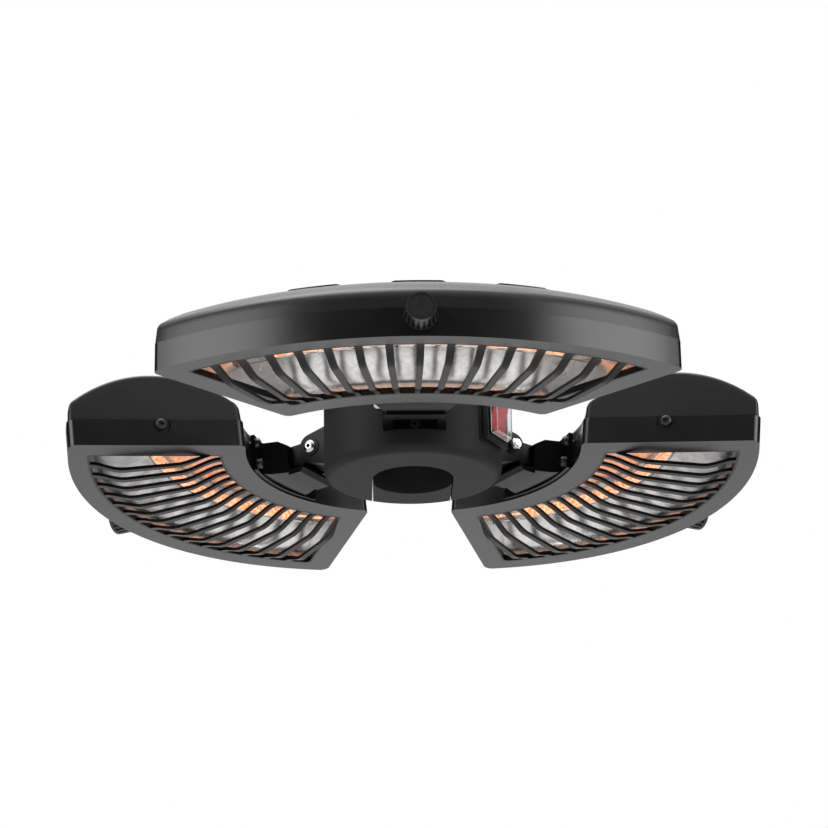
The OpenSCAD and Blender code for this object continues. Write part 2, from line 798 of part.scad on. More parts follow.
// Side view of a bar: level with the underside at both ends and a tray between them.
function bar_side(steps) =
    let (path = [for (i = [0:steps])
        let (r = win_in - lip_w + (win_out - win_in + 2 * lip_w) * i / steps) [r, head_z - hang(r)]])
    concat(path, [for (i = [steps:-1:0]) path[i] + [0, bar_t]]);

// The bars and the lip that lines the window are one piece. Its flange lies on the
// frame's floor.
module guard(h) {
    last = (bar_count - 1) / 2;
    color("#2b2b2e") tilted(h) about_arc() {
        intersection() {
            for (k = [-last:last]) rotate([0, 0, k * bar_pitch - bar_angle / 2])
                rotate_extrude(angle = bar_angle, $fn = 256) polygon(bar_side(22));
            slab(0, seam_z) window(lip_w / 2);
        }
        difference() {
            union() {
                slab(head_z, head_z + case_wall + bar_t) window(lip_w - snug);
                slab(head_z + case_wall, head_z + case_wall + bar_t) window(6);
            }
            slab(head_z - 1, seam_z) window(0);
        }
    }
}

// Section of the reflector's trough, from the inner rim over the lamp to the outer.
function trough_line() = [
    [win_in - 3, reflector_low], [win_in + 6, reflector_low + 10], [win_in + 20, reflector_top - 2],
    [win_in + 30, reflector_top], [win_out - 30, reflector_top], [win_out - 18, reflector_top - 2],
    [win_out - 5, reflector_low + 10], [win_out + 3, reflector_low]];

// Solid ring of that section, thicker by grow on its outside.
module trough(grow) {
    line = trough_line();
    last = len(line) - 1;
    about_arc() rotate_extrude($fn = 256)
        polygon([for (i = [0:last])
            line[i] + grow * [i < last / 2 ? -1 : 1, i > 0 && i < last ? 1 : 0]]);
}

module reflector(h) {
    color("#d9dadc") tilted(h) difference() {
        intersection() {
            trough(reflector_t);
            about_arc() slab(reflector_low, seam_z + 20) end_wedge(reflector_end);
        }
        intersection() {
            trough(0);
            about_arc() slab(reflector_low - 1, seam_z + 20) end_wedge(reflector_end + reflector_t);
        }
        about_arc() translate([0, 0, lamp_z]) rotate_extrude($fn = 256) translate([lamp_r, 0])
            circle(tube_d / 2 + 0.6);
    }
}

module lamp_arc(r, half_angle) {
    about_arc() translate([0, 0, lamp_z]) rotate([0, 0, -half_angle])
        rotate_extrude(angle = 2 * half_angle, $fn = 256) translate([lamp_r, 0]) circle(r);
}

module lamp_tube(h) {
    tube_wall = 1.1;
    color("#f3e6dc", 0.5) tilted(h) difference() {
        lamp_arc(tube_d / 2, cap_angle);
        lamp_arc(tube_d / 2 - tube_wall, cap_angle + 1);
    }
}

// The glowing middle, and thin leads from it to the caps.
module lamp_element(h) {
    lead_r = 0.9;
    color("#ff8a2a") tilted(h) {
        lamp_arc(element_d / 2, cap_angle - element_cold / lamp_r * 180 / PI);
        lamp_arc(lead_r, cap_angle);
    }
}

// An end cap's own frame: +Z runs along the lamp away from the window.
module cap_place() {
    about_arc() rotate([0, 0, cap_angle]) translate([lamp_r, 0, lamp_z]) rotate([-90, 0, 0]) children();
}

module lamp_caps(h) {
    color("#e9e4da") tilted(h) on_both_ends() cap_place() difference() {
        translate([0, 0, -cap_l / 2]) cylinder(r = cap_r, h = cap_l);
        translate([0, 0, -cap_l / 2 - 1]) cylinder(r = tube_d / 2 + 0.2, h = cap_l / 2 + 1.05);
    }
}

module lamp_clips(h) {
    clip_w = 3.6;
    clip_t = 0.8;
    clip_at = 1.2;
    reach = lamp_z - head_z - case_wall;
    color("#b9bbbe") tilted(h) on_both_ends() cap_place() translate([0, 0, clip_at]) difference() {
        union() {
            translate([0, 0, -clip_w / 2]) cylinder(r = cap_r + clip_t, h = clip_w);
            translate([-clip_t * 1.5, 0, -clip_w / 2]) cube([3 * clip_t, reach, clip_w]);
        }
        translate([0, 0, -clip_w]) cylinder(r = cap_r + snug, h = 2 * clip_w);
    }
}

// Screw axes on the inner wall, with +Z pointing at the hub.
module bracket_screw_places(at) {
    about_arc() for (side = [-1, 1]) rotate([0, 0, side * at[0]])
        translate([bracket_out, 0, at[1]]) rotate([0, -90, 0]) children();
}

module bracket(h) {
    slot_out = 9;
    slot_r = 4.5;
    color("#18181a") tilted(h) difference() {
        union() {
            about_arc() translate([0, 0, bracket_low]) rotate([0, 0, -bracket_half_angle])
                rotate_extrude(angle = 2 * bracket_half_angle, $fn = 256)
                    translate([bracket_out, 0]) square([bracket_t - snug, bracket_high - bracket_low]);
            bracket_box();
            translate([hinge_r, -barrel_w / 2, neck_low])
                cube([box_in - hinge_r + 2, barrel_w, neck_high - neck_low]);
            on_axis(-barrel_w / 2) cylinder(r = barrel_r, h = barrel_w);
            bracket_tongue();
        }
        on_axis(-barrel_w) cylinder(r = bolt_r + running, h = 2 * barrel_w);
        translate([hinge_r + 13, 0, neck_low - 1]) {
            for (y = [-slot_out, slot_out]) translate([0, y, 0]) cylinder(r = slot_r, h = 8);
            translate([-slot_r, -slot_out, 0]) cube([2 * slot_r, 2 * slot_out, 8]);
        }
        translate([hinge_r + 13, 0, hinge_z]) rotate([0, 90, 0]) cylinder(r = 3.4, h = 60);
        bracket_screw_places(LOW_SCREW) translate([0, 0, -16]) cylinder(r = screw_r + fit, h = 30);
        bracket_screw_places(HIGH_SCREW) translate([0, 0, -16]) cylinder(r = screw_r + fit, h = 30);
    }
}

// Block between the neck and the curved plate, cut to the plate's curve. It narrows
// towards the neck from the sides and from below.
module bracket_box() {
    shoulder = 6;
    difference() {
        intersection() {
            translate([0, 0, bracket_low]) linear_extrude(box_high - bracket_low)
                polygon([[box_in, -tongue_hw], [head_in - shoulder, -box_hw], [head_in, -box_hw],
                         [head_in, box_hw], [head_in - shoulder, box_hw], [box_in, tongue_hw]]);
            translate([0, box_hw, 0]) rotate([90, 0, 0]) linear_extrude(2 * box_hw)
                polygon([[box_in, tongue_low], [head_in, bracket_low + 2], [head_in, box_high],
                         [box_in + shoulder, box_high], [box_in, neck_high]]);
        }
        about_arc() difference() {
            cylinder(r = arc_out, h = head_top);
            translate([0, 0, -1]) cylinder(r = bracket_out + eps, h = head_top + 2, $fn = 256);
        }
    }
}

// Lip that reaches back from the block's underside, below the hinge and the two ears.
module bracket_tongue() {
    tip = hinge_r + 9;
    tongue_t = 4;
    turn_up = 2.5;
    chamfer = 3;
    translate([0, tongue_hw, 0]) rotate([90, 0, 0]) linear_extrude(2 * tongue_hw)
        polygon([[tip, tongue_low + chamfer], [tip + chamfer, tongue_low], [box_in + 1, tongue_low],
                 [box_in + 1, tongue_low + tongue_t], [tip + turn_up, tongue_low + tongue_t],
                 [tip + turn_up, tongue_low + tongue_t + 1], [tip, tongue_low + tongue_t + 1]]);
}

module bracket_screws(h) {
    color("#8d8f92") tilted(h)
        for (at = [LOW_SCREW, HIGH_SCREW]) bracket_screw_places(at) translate([0, 0, fit]) pan_screw(9);
}

// A knob's own frame: +Z points out of the head.
module knob_place() translate([head_out, 0, knob_z]) rotate([0, 90, 0]) children();

module knob(h) {
    groove_w = 1.9;
    groove_deep = 1.5;
    rim = 1;
    dish = 0.7;
    taper = (knob_d - knob_face_d) / 2;
    lean = atan2(taper, knob_h);
    color("#2c2c2e") tilted(h) knob_place() difference() {
        union() {
            difference() {
                translate([0, 0, knob_gap]) cylinder(d1 = knob_d, d2 = knob_face_d, h = knob_h);
                translate([0, 0, knob_gap + knob_h - dish]) cylinder(d = knob_face_d - 2 * rim, h = 5);
            }
            translate([-knob_face_d / 2 + rim / 2, -0.5, knob_gap + knob_h - dish - eps])
                cube([knob_face_d / 2 - rim, 1, dish * 0.8]);
        }
        for (i = [0:knob_grooves - 1]) rotate([0, 0, (i + 0.5) * 360 / knob_grooves])
            translate([knob_d / 2 - groove_deep, -groove_w / 2, knob_gap + 1.5]) rotate([0, -lean, 0])
                cube([8, groove_w, knob_h - 4.2]);
        translate([0, 0, -1]) cylinder(r = shaft_r + running, h = knob_gap + knob_h - 4);
        cylinder(r = neck_r + 2.6, h = 5, center = true);
    }
}

// A low switch between the outer wall and the reflector, under the seam.
module knob_switch(h) {
    body_w = 20;
    deep = 7.2;
    behind = case_wall + 0.4;
    up = seam_z - knob_z - 0.4;
    down = knob_z - head_z - case_wall - bar_t - 0.7;
    color("#c9c4b4") tilted(h) knob_place() {
        translate([-up, -body_w / 2, -behind - deep]) cube([up + down, body_w, deep]);
        translate([0, 0, -behind - eps]) cylinder(r = neck_r, h = behind + 1.8);
        cylinder(r = shaft_r, h = knob_gap + knob_h - 6);
    }
}

hub_housing();
hub_lid();
lid_screws();
clamp_jaw();
clamp_inserts();
clamp_studs();
clamp_knob(-1);  // clamp_knob_left
clamp_knob(1);  // clamp_knob_right
cable_gland();
gland_nut();
terminal_block();
switch_body();
switch_rocker();
switch_cover();
fork_screws();
lead_bushes();
hinge_bolts();
hinge_nuts();
for (h = [0:2]) {
    hinge_fork(h);
    head_frame(h);
    head_cover(h);
    head_screws(h);
    guard(h);
    reflector(h);
    lamp_tube(h);
    lamp_element(h);
    lamp_caps(h);
    lamp_clips(h);
    bracket(h);
    bracket_screws(h);
    knob(h);
    knob_switch(h);
}
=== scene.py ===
import json
from math import atan2, cos, hypot, pi, radians, sin

import bmesh
import bpy
from mathutils import Matrix, Vector, noise

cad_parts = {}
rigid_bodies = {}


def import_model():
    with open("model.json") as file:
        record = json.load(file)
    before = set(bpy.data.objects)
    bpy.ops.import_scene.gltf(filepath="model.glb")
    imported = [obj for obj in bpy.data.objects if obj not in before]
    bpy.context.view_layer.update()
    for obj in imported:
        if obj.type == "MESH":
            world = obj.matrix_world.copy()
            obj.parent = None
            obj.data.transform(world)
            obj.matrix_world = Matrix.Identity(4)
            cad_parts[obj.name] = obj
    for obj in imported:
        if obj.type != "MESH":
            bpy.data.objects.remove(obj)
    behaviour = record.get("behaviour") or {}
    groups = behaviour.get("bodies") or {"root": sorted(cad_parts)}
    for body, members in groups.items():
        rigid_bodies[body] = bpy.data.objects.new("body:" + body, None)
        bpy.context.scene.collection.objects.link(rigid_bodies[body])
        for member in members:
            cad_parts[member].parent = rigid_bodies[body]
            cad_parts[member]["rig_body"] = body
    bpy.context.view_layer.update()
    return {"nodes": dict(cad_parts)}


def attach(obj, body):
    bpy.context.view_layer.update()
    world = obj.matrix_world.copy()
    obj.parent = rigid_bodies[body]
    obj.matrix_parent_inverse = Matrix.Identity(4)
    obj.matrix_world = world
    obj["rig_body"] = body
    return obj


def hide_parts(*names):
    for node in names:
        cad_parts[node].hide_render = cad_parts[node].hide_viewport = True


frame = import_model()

# The camera stands low in front of the heater and looks up at it, as the photograph
# does. The frame is 828 by 828 and the lens has no shift. All lengths are in metres.
scene = bpy.context.scene
camera = bpy.data.objects.new("camera", bpy.data.cameras.new("camera"))
scene.collection.objects.link(camera)
bpy.context.scene.camera = camera
camera.data.sensor_width = 36
camera.data.lens = 128.687
camera.data.clip_end = 50
camera_place = Vector((-0.05655, -2.08656, -0.69504))
look_right = Vector((0.99963677, -0.02239571, -0.0149923))
look_up = Vector((0.00657202, -0.33692758, 0.94150763))
look_ahead = Vector((0.02613705, 0.94126417, 0.33665801))
facing = Matrix((look_right, look_up, -look_ahead)).transposed().to_4x4()
camera.matrix_world = Matrix.Translation(camera_place) @ facing

# A white studio: a pale floor far below the heater, a white backdrop all round, and
# three soft lamps. Gloss sees the backdrop dark in front of the heater and behind it to
# both sides, as black cards would make it, so that dark walls stay dark.
FLOOR_SIZE, FLOOR_Z = 6, -1.9
FLOOR_GLOW = 0.85
DARK_LEVEL = 0.01
# Where gloss's dark parts end towards the top, the middle and the front, as the sine of
# the angle, and how sharply their edges rise.
NOT_ABOVE, ASIDE, BEHIND = 0.7, 0.15, 0.3
SHARP, SHARP_ASIDE, SHARP_BEHIND = 5, 8, 6
scene.view_settings.view_transform = "Standard"
floor_mesh = bmesh.new()
bmesh.ops.create_grid(floor_mesh, x_segments=1, y_segments=1, size=FLOOR_SIZE)
bmesh.ops.translate(floor_mesh, verts=floor_mesh.verts, vec=(0, 0, FLOOR_Z))
floor = bpy.data.objects.new("floor", bpy.data.meshes.new("floor"))
floor_mesh.to_mesh(floor.data)
floor_mesh.free()
scene.collection.objects.link(floor)


class Flow:
    """One output in a node tree; sums, differences and products of flows add Math nodes."""

    def __init__(self, tree, socket):
        self.tree = tree
        self.socket = socket

    def node(self, kind, settings=None, values=None, output=0):
        """A new node with its settings, and values or flows for its inputs."""
        made = self.tree.nodes.new(kind)
        for key, value in (settings or {}).items():
            if key == "stops":
                stops = made.color_ramp.elements
                while len(stops) < len(value):
                    stops.new(0.5)
                for stop, (at, colour) in zip(stops, value):
                    stop.position = at
                    stop.color = (*colour, 1)
            else:
                setattr(made, key, value)
        for key, value in (values or {}).items():
            if isinstance(value, Flow):
                self.tree.links.new(value.socket, made.inputs[key])
            else:
                made.inputs[key].default_value = value
        return Flow(self.tree, made.outputs[output])

    def feed(self, shader, key):
        """Links this output to one of a shader's inputs."""
        self.tree.links.new(self.socket, shader.inputs[key])

    def math(self, operation, *terms, clamp=False):
        settings = {"operation": operation, "use_clamp": clamp}
        return self.node("ShaderNodeMath", settings, dict(enumerate(terms)))

    def or_more(self, other):
        """The greater of two flows."""
        return self.math("MAXIMUM", self, other)

    def rise(self, rate):
        """Nought below zero, and above it up to one at that rate."""
        return self.math("MULTIPLY", self, rate, clamp=True)

    def __add__(self, other):
        return self.math("ADD", self, other)

    def __sub__(self, other):
        return self.math("SUBTRACT", self, other)

    def __rsub__(self, other):
        return self.math("SUBTRACT", other, self)

    def __mul__(self, other):
        return self.math("MULTIPLY", self, other)

    __radd__ = __add__
    __rmul__ = __mul__


def floor_paint():
    """Pale grey that takes the shadow, with a white glow for the camera and for gloss."""
    paint = bpy.data.materials.new("floor_paint")
    paint.use_nodes = True
    tree = paint.node_tree
    shader = tree.nodes["Principled BSDF"]
    shader.inputs["Base Color"].default_value = (0.8, 0.8, 0.8, 1)
    shader.inputs["Roughness"].default_value = 0.7
    path = tree.nodes.new("ShaderNodeLightPath")
    glow = tree.nodes.new("ShaderNodeEmission")
    glow.inputs["Color"].default_value = (1, 1, 1, 1)
    mix = tree.nodes.new("ShaderNodeMixShader")
    seen, mirrored, through = [Flow(tree, path.outputs[name]) for name in (
        "Is Camera Ray", "Is Glossy Ray", "Is Transmission Ray")]
    share = seen.or_more(mirrored).or_more(through) * FLOOR_GLOW
    share.feed(mix, 0)
    tree.links.new(shader.outputs[0], mix.inputs[1])
    tree.links.new(glow.outputs[0], mix.inputs[2])
    tree.links.new(mix.outputs[0], tree.nodes["Material Output"].inputs["Surface"])
    return paint


floor.data.materials.append(floor_paint())

world = bpy.data.worlds.new("studio")
scene.world = world
world.use_nodes = True
air = world.node_tree
backdrop = air.nodes["Background"]
ray = air.nodes.new("ShaderNodeLightPath")
direction = Flow(air, air.nodes.new("ShaderNodeTexCoord").outputs["Generated"])
across, along, upward = [
    direction.node("ShaderNodeSeparateXYZ", {}, {0: direction}, output=axis)
    for axis in range(3)]
toward_front = 0 - along
to_a_side = across.math("ABSOLUTE", across)
in_front = (toward_front - to_a_side).rise(SHARP)
not_above = (NOT_ABOVE - upward).rise(SHARP)
behind = (to_a_side - ASIDE).rise(SHARP_ASIDE) * (BEHIND - toward_front).rise(SHARP_BEHIND)
studio = 1 - in_front.or_more(behind) * not_above * (1 - DARK_LEVEL)
plain = Flow(air, ray.outputs["Is Camera Ray"]).or_more(
    Flow(air, ray.outputs["Is Transmission Ray"]))
(plain + (1 - plain) * studio).feed(backdrop, "Strength")
backdrop.inputs["Color"].default_value = (1, 1, 1, 1)


def soft_lamp(name, place, size, power):
    """A square lamp that faces the heater."""
    lamp = bpy.data.objects.new(name, bpy.data.lights.new(name, "AREA"))
    lamp.data.size = size
    lamp.data.energy = power
    lamp.location = place
    lamp.rotation_euler = (-Vector(place)).to_track_quat("-Z", "Y").to_euler()
    scene.collection.objects.link(lamp)


soft_lamp("lamp_above", (-0.3, 0.3, 2.4), size=1.6, power=20)
soft_lamp("lamp_left", (-2.05, -1.3, 0.5), size=1.6, power=30)
soft_lamp("lamp_right", (2.05, -1.3, 0.5), size=1.6, power=34)

# Each head's casing is die-cast and pressed metal in a matt charcoal powder coat: a
# tray with the window below, and over it a domed cover that two screws hold. A head is
# shaped in its own frame, pointing along X from the pole, and then put in its place.
SIDES = ("front", "left", "right")
# Azimuth and tilt in degrees.
REST = {"front": (-90, 0), "left": (150, 6.5), "right": (30, 6.5)}
HINGE = Vector((0.075, 0, 0.032))
# The casing's walls are arcs round a point this far behind the pole's axis, and its end
# walls lie on lines from that axis.
ARC_BACK = 0.040
HALF_SPAN = radians(45)

# The cover's arcs, the gap to the end walls, and the circle of its dome.
COVER_IN, COVER_OUT, COVER_INSET = 0.1612, 0.2888, 0.0012
COVER_LOW, COVER_SKIN = 0.0381, 0.0022
DOME_MIDDLE, DOME_R, DOME_Z = 0.225, 0.096, -0.0205
# Rounding of its upper edges and corners, and how much its walls lean in for their height.
SHOULDER, CORNER, LEAN = 0.0034, 0.0034, 0.08
# Three groups of three vents with a raised lip.
VENT_GROUPS = (-1, 0, 1)
VENT_TURN, VENT_PITCH, VENT_W = radians(8.4), radians(16.6), 0.003
VENT_ARCS = [0.254 - 0.011 * i for i in range(3)]
VENT_LIP, VENT_MARGIN = 0.0005, 0.004
LAST_VENT = VENT_PITCH + VENT_TURN / 2
# Steps of the mesh: in a rounded edge and how they crowd, inside and outside the vents,
# over a group of vents and between groups, out to an end wall, and down the walls.
EDGE_STEPS, EDGE_CROWD = 9, 1.2
INNER_STEPS, OUTER_STEPS, VENT_STEPS, GAP_STEPS = 12, 4, 6, 4
END_STEPS, END_RUN, WALL_STEPS = 16, 0.16, 4

# The tab in each end wall that the cover's screw goes through: its half width, thickness,
# top and bottom, its middle's way along the end wall and depth inside it, and the steps
# of its round end.
TAB_HALF, TAB_THICK, TAB_TOP, TAB_LOW = 0.0066, 0.0018, 0.0399, 0.0266
TAB_REACH, TAB_INSET, TAB_STEPS = 0.191, 0.00145, 9


def linear(code):
    """Red, green and blue of a colour written as on a paint card, such as 3a3a3c."""
    parts = [int(code[i:i + 2], 16) / 255 for i in (0, 2, 4)]
    return [p / 12.92 if p <= 0.04045 else ((p + 0.055) / 1.055) ** 2.4 for p in parts]


def new_finish(name):
    """A material, its shader, and the place on the piece that patterns follow."""
    material = bpy.data.materials.new(name)
    material.use_nodes = True
    tree = material.node_tree
    place = Flow(tree, tree.nodes.new("ShaderNodeTexCoord").outputs["Object"])
    return material, tree.nodes["Principled BSDF"], place


def cloudy(place, scale, detail):
    """Soft uneven patches, more of them to the metre as the scale goes up."""
    return place.node("ShaderNodeTexNoise", {},
                      {"Vector": place, "Scale": scale, "Detail": detail})


def finish_of(name, dark, light, rough, metal=0.0, grain=2600, relief=0.00006, coat=0.0,
              specular=0.5, patches=38, smudge=0.12):
    """A surface with a fine grain, a faint change of tone and uneven gloss over it.

    Its tone runs from dark to light with the patches and the grain, its roughness goes
    up and down by half of smudge, and relief is the grain's height.
    """
    dark_at, light_at = 0.32, 0.68
    material, shader, place = new_finish(name)
    specks = cloudy(place, grain, 2)
    clouds = cloudy(place, patches, 3)
    tone = place.node("ShaderNodeValToRGB",
                      {"stops": [(dark_at, linear(dark)), (light_at, linear(light))]},
                      {0: clouds * 0.6 + specks * 0.4})
    tone.feed(shader, "Base Color")
    (clouds * smudge + (rough - smudge / 2)).feed(shader, "Roughness")
    bump = place.node("ShaderNodeBump", {},
                      {"Height": specks, "Strength": 0.6, "Distance": relief})
    bump.feed(shader, "Normal")
    shader.inputs["Metallic"].default_value = metal
    shader.inputs["Coat Weight"].default_value = coat
    shader.inputs["Specular IOR Level"].default_value = specular
    return material


def settle(made, name, material, node, smooth=25):
    """Turns a bmesh into the piece that stands for a CAD node and rides as it does."""
    for face in made.faces:
        face.smooth = True
    piece = bpy.data.objects.new(name, bpy.data.meshes.new(name))
    made.to_mesh(piece.data)
    made.free()
    piece.data.set_sharp_from_angle(angle=radians(smooth))
    piece.data.materials.append(material)
    scene.collection.objects.link(piece)
    flats = piece.modifiers.new("flats stay flat", "WEIGHTED_NORMAL")
    flats.keep_sharp = True
    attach(piece, frame["nodes"][node]["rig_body"])
    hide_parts(node)


def rounded(node, name, radius, segments, material):
    """A CAD node's shape with its triangles joined into faces and its edges rounded."""
    made = bmesh.new()
    made.from_mesh(frame["nodes"][node].data)
    bmesh.ops.remove_doubles(made, verts=made.verts, dist=2e-6)
    bmesh.ops.dissolve_limit(made, angle_limit=radians(0.3), verts=made.verts,
                             edges=made.edges, use_dissolve_boundaries=False)
    corners = [edge for edge in made.edges
               if edge.is_manifold and edge.calc_face_angle(0) > radians(30)]
    bmesh.ops.bevel(made, geom=corners, offset=radius, offset_type="OFFSET",
                    segments=segments, profile=0.5, affect="EDGES", clamp_overlap=True,
                    material=-1)
    settle(made, name, material, node)


def onto_head(made, side):
    """Takes a shape from its head's own frame to where the head rests."""
    azimuth, tilt = REST[side]
    move = Matrix.Rotation(radians(azimuth), 4, "Z") @ Matrix.Translation(HINGE) \
        @ Matrix.Rotation(radians(tilt), 4, "Y") @ Matrix.Translation(-HINGE)
    bmesh.ops.transform(made, matrix=move, verts=made.verts)


def face_out(made, top_way):
    """Turns a shell's faces so that the highest one looks up, 1, or down, -1."""
    bmesh.ops.recalc_face_normals(made, faces=made.faces)
    top = max(made.faces, key=lambda face: face.calc_center_median().z)
    if top.normal.z * top_way < 0:
        bmesh.ops.reverse_faces(made, faces=made.faces)


def only(parts, kind):
    return [part for part in parts if isinstance(part, kind)]


def end_turn(reach, inset):
    """Angle at which an arc of that radius meets the line inset inside the end wall."""
    apex = ARC_BACK + inset / sin(HALF_SPAN)
    run = -apex * cos(HALF_SPAN) + (reach * reach - (apex * sin(HALF_SPAN)) ** 2) ** 0.5
    return atan2(run * sin(HALF_SPAN), apex + run * cos(HALF_SPAN))


def spread(low, high, count):
    """Numbers from low to high in equal steps."""
    return [low + (high - low) * i / count for i in range(count + 1)]


def cover_lines():
    """The cover's mesh lines: columns across it, and rows along it by their radius.

    A column is an angle over the vents, and beyond them a share of the way to the end
    wall, on the side that way gives. Both crowd at the rounded edges.
    """
    edge = [SHOULDER * (i / EDGE_STEPS) ** EDGE_CROWD for i in range(EDGE_STEPS + 1)]
    radii = {COVER_IN + e for e in edge} | {COVER_OUT - e for e in edge}
    radii |= set(spread(COVER_IN + SHOULDER, VENT_ARCS[2], INNER_STEPS))
    for low in VENT_ARCS:
        radii |= {low, low + VENT_W, low + VENT_W + VENT_MARGIN}
    radii |= set(spread(VENT_ARCS[0] + VENT_W, COVER_OUT - SHOULDER, OUTER_STEPS))
    radii = sorted({round(radius, 6) for radius in radii})
    rows = [r for i, r in enumerate(radii) if i == 0 or r - radii[i - 1] > 1e-5]
    half = VENT_TURN / 2
    turns = set()
    for group in VENT_GROUPS:
        middle = group * VENT_PITCH
        turns |= set(spread(middle - half, middle + half, VENT_STEPS))
    turns |= set(spread(half, VENT_PITCH - half, GAP_STEPS))
    turns |= set(spread(half - VENT_PITCH, -half, GAP_STEPS))
    turns = sorted({round(turn, 6) for turn in turns})
    ends = [1 - e / END_RUN for e in edge] + spread(0, 1 - SHOULDER / END_RUN, END_STEPS)
    ends = sorted({round(end, 5) for end in ends})[1:]
    columns = [("end", -1, end) for end in reversed(ends)]
    columns += [("turn", 0, turn) for turn in turns]
    columns += [("end", 1, end) for end in ends]
    return columns, rows


def in_vent(corners):
    """True for a face of the mesh, given by its corners' columns and rows, in a vent."""
    if any(kind == "end" for (kind, _, _), _ in corners):
        return False
    turn = sum(column[2] for column, _ in corners) / 4
    reach = sum(row for _, row in corners) / 4
    return any(abs(turn - group * VENT_PITCH) < VENT_TURN / 2 for group in VENT_GROUPS) \
        and any(low < reach < low + VENT_W for low in VENT_ARCS)


def cover_point(column, reach):
    """The dome's point at a column and a radius, with its edges and corners rounded."""
    kind, way, value = column
    full = end_turn(reach, COVER_INSET)
    turn = value if kind == "turn" else way * (LAST_VENT + (full - LAST_VENT) * value)
    from_arc = min(reach - COVER_IN, COVER_OUT - reach)
    from_end = (full - abs(turn)) * reach
    rim = min(from_arc, from_end)
    if from_arc < CORNER and from_end < CORNER:
        p, q = CORNER - from_arc, CORNER - from_end
        scale = max(p, q) / max(hypot(p, q), 1e-9)
        turn += (1 if turn > 0 else -1) * (q * scale - q) / reach
        reach += (1 if reach > DOME_MIDDLE else -1) * (p * scale - p)
        rim = CORNER - hypot(p * scale, q * scale)
    rim = min(max(rim, 0), SHOULDER)
    drop = SHOULDER - (SHOULDER ** 2 - (SHOULDER - rim) ** 2) ** 0.5
    dome = DOME_Z + (DOME_R ** 2 - (reach - DOME_MIDDLE) ** 2) ** 0.5
    return reach * cos(turn) - ARC_BACK, reach * sin(turn), dome - drop


def lean_in(place):
    """Moves a point of the cover inwards, further the higher it is."""
    lean = max(0, place.z - COVER_LOW) * LEAN
    flat = Vector((place.x + ARC_BACK, place.y))
    share = (flat.length - DOME_MIDDLE) / (COVER_OUT - DOME_MIDDLE)
    turn = atan2(flat.y, flat.x)
    reach = flat.length - share * lean
    turn *= 1 - lean / (reach * HALF_SPAN)
    place.x, place.y = reach * cos(turn) - ARC_BACK, reach * sin(turn)


def screw_tab(made, way):
    """The tab that goes down into the tray's notch, with its lower corners rounded."""
    tab = bmesh.ops.create_cube(made, size=1)["verts"]
    bmesh.ops.scale(made, verts=tab, vec=(2 * TAB_HALF, TAB_THICK, TAB_TOP - TAB_LOW))
    corners = [e for v in tab for e in v.link_edges if all(w.co.z < 0 for w in e.verts)
               and abs(e.verts[0].co.y - e.verts[1].co.y) > TAB_THICK / 2]
    tab += bmesh.ops.bevel(made, geom=list(set(corners)), offset=TAB_HALF - 0.00002,
                           segments=TAB_STEPS, profile=0.5, affect="EDGES",
                           clamp_overlap=False, material=-1)["verts"]
    tab = [vert for vert in set(tab) if vert.is_valid]
    place = Matrix.Rotation(way * HALF_SPAN, 4, "Z") @ Matrix.Translation(
        (TAB_REACH, way * (-TAB_INSET - TAB_THICK / 2), (TAB_TOP + TAB_LOW) / 2))
    bmesh.ops.transform(made, matrix=place, verts=tab)


def cover_piece(side):
    """Bends a flat mesh to the dome, cuts its vents and draws its walls down."""
    columns, rows = cover_lines()
    last = (len(columns) - 1, len(rows) - 1)
    made = bmesh.new()
    bmesh.ops.create_grid(made, x_segments=last[0], y_segments=last[1], size=0.5)
    grid = {vert: (round((vert.co.x + 0.5) * last[0]), round((vert.co.y + 0.5) * last[1]))
            for vert in made.verts}
    outer = {vert for vert, (i, j) in grid.items() if i in (0, last[0]) or j in (0, last[1])}
    vents = [face for face in made.faces
             if in_vent([(columns[grid[v][0]], rows[grid[v][1]]) for v in face.verts])]
    for vert, (i, j) in grid.items():
        vert.co = cover_point(columns[i], rows[j])
    bmesh.ops.delete(made, geom=vents, context="FACES")
    open_edges = [edge for edge in made.edges if edge.is_boundary]
    vent_rims = [edge for edge in open_edges if not outer.issuperset(edge.verts)]
    rim = [edge for edge in open_edges if outer.issuperset(edge.verts)]
    for step in range(WALL_STEPS):
        low = bmesh.ops.extrude_edge_only(made, edges=rim)["geom"]
        rim = only(low, bmesh.types.BMEdge)
        for vert in only(low, bmesh.types.BMVert):
            vert.co.z -= (vert.co.z - COVER_LOW) / (WALL_STEPS - step)
    face_out(made, 1)
    for vert in made.verts:
        lean_in(vert.co)
    lips = bmesh.ops.extrude_edge_only(made, edges=vent_rims)["geom"]
    bmesh.ops.translate(made, verts=only(lips, bmesh.types.BMVert), vec=(0, 0, VENT_LIP))
    bmesh.ops.solidify(made, geom=made.faces[:], thickness=COVER_SKIN)
    for way in (-1, 1):
        screw_tab(made, way)
    onto_head(made, side)
    settle(made, "dome_" + side, casing_paint, "head_cover_" + side, smooth=35)


casing_paint = finish_of("casing_paint", "0f0f10", "151516", 0.26, smudge=0.08)
for side in SIDES:
    rounded("head_frame_" + side, "tray_" + side, 0.0012, 3, casing_paint)
    cover_piece(side)

# The guard is one casting in a duller coat of the same colour: bars that hang below the
# window like a tray, and the lip that lines the window.
guard_paint = finish_of("guard_paint", "0c0c0d", "121213", 0.34, specular=0.22)
for side in SIDES:
    rounded("guard_" + side, "bars_" + side, 0.001, 3, guard_paint)

# The reflector is a trough of polished aluminium sheet, a little rippled, with an end
# plate at each end that the lamp passes through. Two rivets hold each end plate.
TROUGH_IN, TROUGH_OUT, TROUGH_LOW, TROUGH_HIGH = 0.1768, 0.2765, 0.0222, 0.0468
# How full the curve between its rims is, 1 for half an ellipse, and the sheet.
TROUGH_FULL, TROUGH_THICK = 0.9, 0.0007
